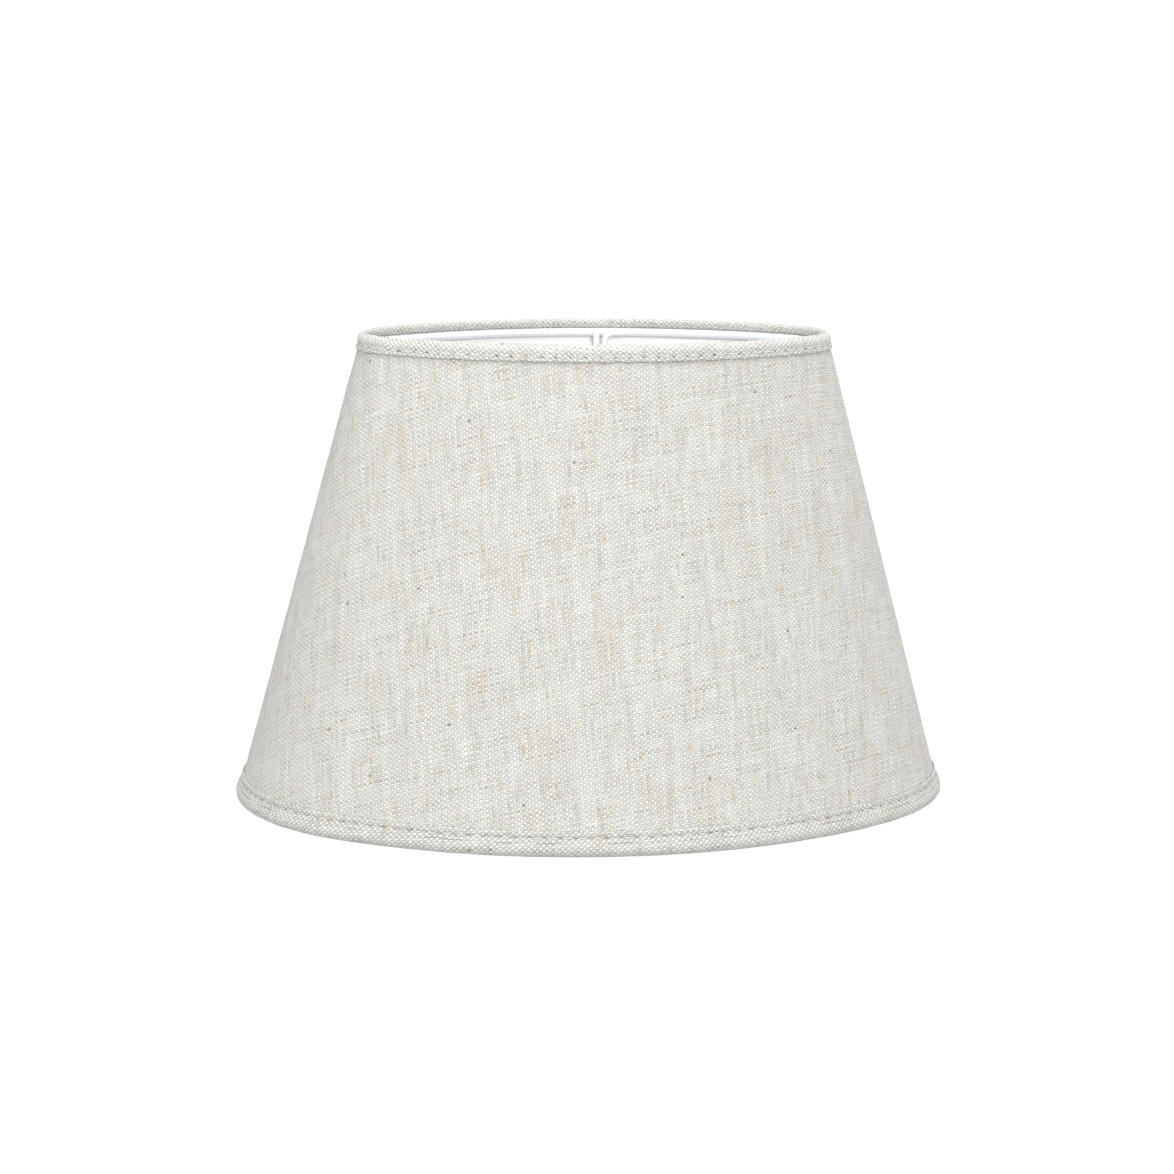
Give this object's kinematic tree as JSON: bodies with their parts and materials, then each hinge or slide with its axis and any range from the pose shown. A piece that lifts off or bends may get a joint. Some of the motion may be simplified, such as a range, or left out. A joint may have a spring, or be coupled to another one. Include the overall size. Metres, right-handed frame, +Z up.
{
  "type": "lamp shade",
  "caption": "Oval hard-backed linen lamp shade with leaning walls, rolled stitched trims, wire edge rings and a recessed fitter ring on two hairpin arms.",
  "frame": {"origin": "centre of the oval at the height of the lowest edge, where the shade stands on its bottom trim", "axes": "+Z up through the fitter ring, +X along the oval's length, -Y towards the front"},
  "size_m": [0.25, 0.178, 0.162],
  "materials": {
    "cover_linen": "plain slub linen weave, off-white with beige and grey slubs",
    "trim_linen": "the same linen folded double, thread running along the rim",
    "liner_film": "satin white film",
    "tape": "adhesive tape",
    "white_wire": "glossy white powder coat on steel",
    "thread": "matt sewing thread"
  },
  "bodies": {
    "root": {"cover": "cover_linen", "liner": "liner_film", "seam_tape": "tape", "top_ring": "white_wire", "bottom_ring": "white_wire", "top_trim": "trim_linen", "bottom_trim": "trim_linen", "top_stitching": "thread", "bottom_stitching": "thread", "fitter_ring": "white_wire", "back_arm": "white_wire", "front_arm": "white_wire"}
  },
  "joints": []
}
